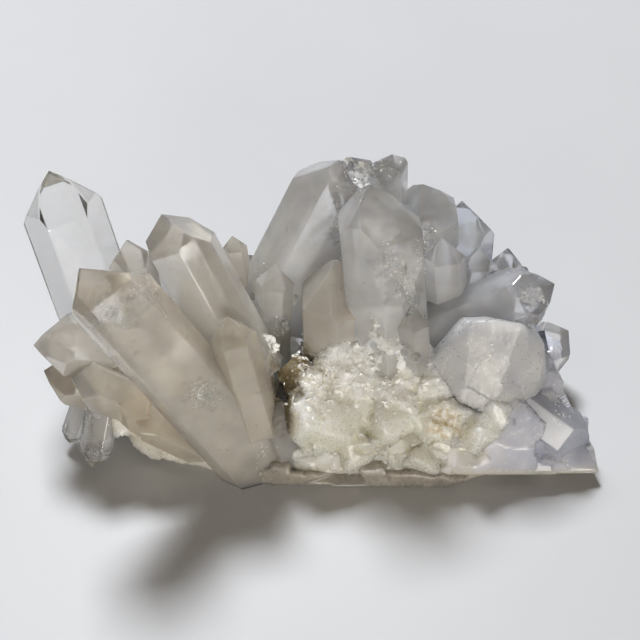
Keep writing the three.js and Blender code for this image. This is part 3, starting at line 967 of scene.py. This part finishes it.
def etched_quartz():
    """The big hazy block on the right, with its etched skin."""
    nodes = Nodes("etched_quartz")
    haze = nodes.noise(6, 4)
    pits = nodes.noise(1.1, 4)
    colour = nodes.mix(nodes.ramp(haze, 0.3, 0.7), (0.69, 0.70, 0.74), (0.77, 0.77, 0.76))
    nodes.put("Base Color", colour)
    nodes.put("Transmission Weight", nodes.ramp(haze, 0.3, 0.7, 0.58, 0.34))
    nodes.put("Roughness", nodes.ramp(pits, 0.35, 0.7, 0.26, 0.45))
    nodes.put("IOR", QUARTZ_IOR)
    nodes.scatter((0.95, 0.95, 1.0), 6)
    return nodes.material


def table_top():
    """The plain pale floor."""
    nodes = Nodes("table_top")
    tone = nodes.ramp(nodes.noise(60, 3), 0.3, 0.7)
    nodes.put("Base Color", nodes.mix(tone, (0.515, 0.525, 0.545), (0.53, 0.54, 0.56)))
    nodes.put("Roughness", 0.55)
    return nodes.material


def keep(piece, material):
    """Gives a piece its material and its place on the cluster."""
    piece.data.materials.clear()
    piece.data.materials.append(material)
    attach(piece, "root")
    return piece


# How far a crystal's edges are rounded, and those of crystals under a width.
EDGE_ROUNDING = 0.22
SMALL_ROUNDING = 0.1
SMALL_WIDTH = 6


def make_crystals():
    """All the crystals as one closed piece of clear quartz."""
    crystals = CRYSTALS + [item for druse in DRUSES for item in druse_crystals(druse)]
    parts = []
    for item in crystals:
        part = solids_object(item["name"], [convex_solid(*crystal_planes(item))])
        bevel(part, EDGE_ROUNDING if item["width"] > SMALL_WIDTH else SMALL_ROUNDING)
        parts.append(part)
    below = object_of("below_table", *box_solid((-200, -200, -50), (200, 200, 0)))
    piece = joined("crystals", parts, [below])
    mark_crystals(piece, crystals)
    return keep(piece, crystal_quartz())


# How much of a crystal's width its milky heart fills, how far the heart stays behind the point against
# the width, over how much of the width it fades in, and the least milkiness of a crystal that has one.
HEART_WIDTH = 0.72
HEART_SETBACK = 0.15
HEART_FADE = 0.9
LEAST_HEART_MILK = 0.25
HEART_VOXEL = 0.8


def heart_planes(item):
    normals, distances = crystal_planes(item)
    along = axes_of(item)[0]
    middle = normals @ item["tip"]
    prism = np.abs(normals @ along) < 0.01
    slopes = (normals @ along) > 0.01
    distances = np.where(prism, middle + (distances - middle) * HEART_WIDTH, distances)
    return normals, np.where(slopes, distances - item["width"] * HEART_SETBACK, distances), slopes


def mark_hearts(obj, hearts):
    """Writes on each place of the hearts how solid it is: least behind a crystal's point."""
    places = in_millimetres(coordinates(obj.data))
    planes = [heart_planes(item) for item in hearts]
    far = np.stack([(places @ normals.T - distances).max(1) for normals, distances, slopes in planes])
    owner = np.abs(far).argmin(0)
    fade = np.ones(len(places))
    for number, (item, (normals, distances, slopes)) in enumerate(zip(hearts, planes)):
        here = owner == number
        milk, warmth, clear = look_of(item)
        length = np.linalg.norm(item["tip"] - item["root"])
        behind = (distances[slopes] - places[here] @ normals[slopes].T).min(1)
        reach = item["width"] * HEART_FADE + clear * length
        fade[here] = np.clip(behind / reach, 0, 1) ** 0.7
    layer = obj.data.attributes.new("fade", "FLOAT", "POINT")
    layer.data.foreach_set("value", fade)


def make_hearts():
    """The milky hearts of the crystals that aren't clear."""
    hearts = [item for item in CRYSTALS if look_of(item)[0] > LEAST_HEART_MILK]
    solids = [convex_solid(normals, distances) for normals, distances, slopes in map(heart_planes, hearts)]
    piece = smoothed(remeshed(solids_object("milky_hearts", solids), HEART_VOXEL), 6)
    keep_above_table(piece, 1)
    mark_hearts(piece, hearts)
    return keep(piece, heart_quartz())


def make_cracks():
    """The thin bright cracks inside the crystals."""
    solids = [plate(*crack, number) for number, crack in enumerate(CRACKS)]
    return keep(solids_object("inner_cracks", solids), crack_quartz())


def nearest_skin(places):
    """How deep places lie inside the nearest crystal, negative outside them all, and the way out of it."""
    planes = [crystal_planes(item) for item in CRYSTALS]
    depths = [(distances - places @ normals.T).min(1) for normals, distances in planes]
    faces = [(distances - places @ normals.T).argmin(1) for normals, distances in planes]
    owner = np.array(depths).argmax(0)
    ways = np.array([planes[number][0][faces[number][place]] for place, number in enumerate(owner)])
    return np.array(depths).max(0), ways


# How deep a glint may lie and still be brought out to the skin, how much of its size then stays under
# the skin, and what its size is worn down to.
SKIN_DEPTH = 2
SUNK_GLINT = 0.12
WORN_GLINT = 0.6


def make_glints():
    """The broken grains that glitter in the skin of the crystals and just inside it."""
    rng = np.random.default_rng(GLINT_SEED)
    places = []
    sizes = []
    for glints in GLINTS:
        around = rng.normal(0, 0.6, (glints.count, 3)).clip(-1.2, 1.2) * glints.spread
        places.append(np.array(glints.centre) + around)
        sizes.append(glints.least + (glints.most - glints.least) * rng.uniform(0, 1, glints.count) ** 2)
    places = np.concatenate(places)
    sizes = np.concatenate(sizes)
    depths, ways = nearest_skin(places)
    at_skin = (depths > 0) & (depths < SKIN_DEPTH)
    places[at_skin] += (ways * (depths - sizes * SUNK_GLINT)[:, None])[at_skin]
    sizes[at_skin] *= WORN_GLINT
    kept = at_skin | (depths > sizes * 0.5)
    piece = grains("glints", places[kept], sizes[kept], (0.7, 0.5, 0.2), GLINT_SEED + 1)
    return keep(piece, glint_quartz("glint_quartz", 0.1))


# Where the etched and broken faces on the right glitter: the middle of each patch and how far it reaches.
GLITTER = [
    ((35, 12.5, 32), 3), ((29, 9, 26), 2), ((52.5, 10.5, 17), 2.5), ((54.5, 7, 14), 3.2),
    ((40, 5, 19), 1.8), ((28, 3, 16), 4), ((-5, 4, 11), 3),
]
# How many glittering grains each piece has, how far they scatter, and how far they are sunk.
GLITTER_COUNT = 55
GLITTER_SCATTER = 0.3
GLITTER_SUNK = 0.1


def in_glitter(places):
    shares = [np.exp(-((places - centre) ** 2).sum(1) / reach**2) for centre, reach in GLITTER]
    return np.array(shares).max(0) * ramp(places[:, 2], 5, 8) + 1e-9


def make_glitter(pieces):
    """The bright broken grains on the faces that glitter."""
    places = []
    rng = np.random.default_rng(GLITTER_SEED)
    for number, piece in enumerate(pieces):
        around, ways = surface_places(piece, GLITTER_COUNT, in_glitter, GLITTER_PLACE_SEED + number)
        scatter = rng.normal(0, GLITTER_SCATTER, around.shape).clip(-0.5, 0.5)
        places += list(around + scatter - ways * GLITTER_SUNK)
    sizes = 0.08 + 0.3 * rng.uniform(0, 1, len(places)) ** 3
    piece = grains("glitter", places, sizes, (1, 0.7, 0.25), GLITTER_SEED + 1)
    return keep(piece, glint_quartz("glitter_quartz", 0.3))


def on_mound(places):
    """How sugary the skin of the mound is: most on its upper part."""
    hollow = np.linalg.norm(places - (-9, 15, 23), axis=1)
    return ramp(places[:, 2], 17, 23) * ramp(places[:, 0], 32, 24) * ramp(hollow, 4, 7) + 0.01


def off_table(places):
    """Less of a move near the table, so that the lower rim stays straight."""
    return ramp(places[:, 2], 4, 10)


def on_right(places):
    return off_table(places) * ramp(places[:, 0], 32, 40)


def on_left(places):
    return ramp(places[:, 2], 2.5, 5) * ramp(places[:, 0], 40, 32)


def on_underside(places):
    return ramp(places[:, 2], 0.5, 3) * ramp(places[:, 2], 12, 7)


def lumps_of(block):
    return [convex_solid(*planes) for lumps in LUMPS if lumps.block == block for planes in lumps_on(lumps)]


def knobs():
    roll = dice(KNOB_SEED)
    return [convex_solid(*lump_planes(centre, radius, roll)) for centre, radius in KNOBS]


# How far to the right a knob is part of the slab and not of the white mound.
SLAB_KNOBS = 45
# How high over the table the mound's skin turns from smooth to sugary, and how many sugary grains it has.
SUGAR_FROM = 19
SUGAR_COUNT = 1500
# How fine the skins are remade: those that show grains and fine facets, and the coarser root.
FINE_VOXEL = 0.45
ROOT_VOXEL = 0.6


def make_mound():
    """The white broken mound in front, with its sugary skin."""
    solids = [block_solid("white_mound")]
    solids += [knob for (centre, radius), knob in zip(KNOBS, knobs()) if centre[0] < SLAB_KNOBS]
    solids += lumps_of("white_mound")
    piece = smoothed(remeshed(solids_object("white_mound", solids), FINE_VOXEL), 8)
    broken_up(piece, 5, 0.25, 0.7, MOUND_SEED, off_table)
    piece = smoothed(piece, 1)
    broken_up(piece, 2, 0.35, 0.4, SUGARY_SEED, on_mound)
    keep_above_table(piece)
    smooth_below(piece, SUGAR_FROM)
    return keep(piece, mound_quartz())


def make_sugar(mound):
    """The loose-looking small grains that stand all over the white mound."""
    places, ways = surface_places(mound, SUGAR_COUNT, on_mound, SUGAR_SEED)
    sizes = 0.2 + 0.6 * np.random.default_rng(SUGAR_SEED + 1).uniform(0, 1, len(places)) ** 2.5
    places = places + ways * sizes[:, None] * 0.05
    piece = grains("sugar_grains", places, sizes, (1, 0.8, 0.25), SUGAR_SEED + 2)
    return keep(piece, glint_quartz("sugar_quartz", 0.12))


def make_slab():
    """The cloudy slab on the right, cream at its left and lilac at its right."""
    solids = [block_solid("right_slab")] + lumps_of("right_slab")
    solids += [knob for (centre, radius), knob in zip(KNOBS, knobs()) if centre[0] > SLAB_KNOBS]
    piece = smoothed(remeshed(solids_object("right_slab", solids), ROOT_VOXEL), 6)
    broken_up(piece, 11, 0.05, 1.4, SLAB_SEED, on_right)
    broken_up(piece, 3.5, 0.35, 0.9, CREAM_SEED, on_left)
    piece = smoothed(piece, 1)
    keep_above_table(piece)
    cream, lilac, rim_and_painted_shade = (0.95, 0.90, 0.77), (0.73, 0.76, 0.92), (0.82, 0.75, 0.60)
    return keep(piece, root_quartz("slab_quartz", cream, lilac, 0.4, 0.22, rim_and_painted_shade, 5))


def make_left_root():
    """The cloudy root behind and under the left crystals, and the flat underside."""
    solids = [block_solid(name) for name in ("left_root", "underside")]
    solids += lumps_of("left_root")
    piece = smoothed(remeshed(solids_object("left_root", solids), ROOT_VOXEL), 6)
    broken_up(piece, 6, 0.3, 0.9, ROOT_SEED, off_table)
    broken_up(piece, 9, 0.25, 1.3, UNDERSIDE_SEED, on_underside)
    keep_above_table(piece)
    piece.data.shade_smooth()
    # The dark rim colour is painted shade on the underside's front, which lies in shadow.
    cream, grey, rim_and_painted_shade = (0.90, 0.84, 0.71), (0.86, 0.86, 0.86), (0.40, 0.37, 0.32)
    return keep(piece, root_quartz("low_quartz", cream, grey, 0.4, 0.3, rim_and_painted_shade, 8))


def make_etched_block():
    """The big block on the right, with faint uneven facets."""
    piece = solids_object("etched_block", [block_solid("etched_face")])
    bevel(piece, EDGE_ROUNDING)
    piece = remeshed(piece, FINE_VOXEL)
    broken_up(piece, 7, 0.02, 0.12, BLOCK_SEED, everywhere)
    return keep(piece, etched_quartz())


# The photograph's view in millimetres, and its focal length against its width in pixels.
VIEW_TARGET = (0, 24, 29)
VIEW_DISTANCE = 360
VIEW_ELEVATION = math.radians(40)
VIEW_FOCAL = 1578.6
VIEW_WIDTH = 640
SENSOR_WIDTH = 36
FLOOR_REACH = 2000


def stage_and_camera():
    """The floor, and the camera at the photograph's angle."""
    corners = [(x * FLOOR_REACH, y * FLOOR_REACH, 0) for x, y in ((-1, -1), (1, -1), (1, 1), (-1, 1))]
    floor = object_of("floor", corners, [(0, 1, 2, 3)])
    floor.data.materials.append(table_top())
    camera = bpy.data.objects.new("camera", bpy.data.cameras.new("camera"))
    bpy.context.scene.collection.objects.link(camera)
    camera.data.sensor_width = SENSOR_WIDTH
    camera.data.lens = VIEW_FOCAL / VIEW_WIDTH * SENSOR_WIDTH
    camera.data.clip_start = 0.01
    target = Vector(in_metres(VIEW_TARGET))
    back = Vector((0, -math.cos(VIEW_ELEVATION), math.sin(VIEW_ELEVATION)))
    camera.location = target + back * VIEW_DISTANCE * MM
    camera.rotation_euler = back.to_track_quat("Z", "Y").to_euler()
    bpy.context.scene.camera = camera


def area_light(name, place, width, height, power, colour):
    """A soft lamp at a place in millimetres that shines at the cluster's middle."""
    data = bpy.data.lights.new(name, "AREA")
    data.shape = "RECTANGLE"
    data.size = width * MM
    data.size_y = height * MM
    data.energy = power
    data.color = colour
    lamp = bpy.data.objects.new(name, data)
    lamp.location = Vector(place) * MM
    lamp.rotation_euler = (lamp.location - Vector((0, 0, 25 * MM))).to_track_quat("Z", "Y").to_euler()
    bpy.context.scene.collection.objects.link(lamp)


def light_scene():
    """A high soft window behind, a weak warm fill in front, and a dim room."""
    area_light("window", (-380, 1250, 1950), 600, 600, 69.0, (0.96, 0.98, 1.0))
    area_light("front_fill", (250, -1600, 320), 1500, 440, 19.5, (1.0, 0.95, 0.87))
    world = bpy.data.worlds.new("room")
    world.use_nodes = True
    world.node_tree.nodes["Background"].inputs["Color"].default_value = (0.07, 0.05, 0.03, 1)
    world.node_tree.nodes["Background"].inputs["Strength"].default_value = 1.0
    bpy.context.scene.world = world
    bpy.context.scene.view_settings.view_transform = "Standard"


crystals = make_crystals()
make_hearts()
make_cracks()
make_glints()
mound = make_mound()
make_sugar(mound)
slab = make_slab()
make_left_root()
block = make_etched_block()
make_glitter([mound, slab, block])
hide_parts("quartz_cluster")
stage_and_camera()
light_scene()
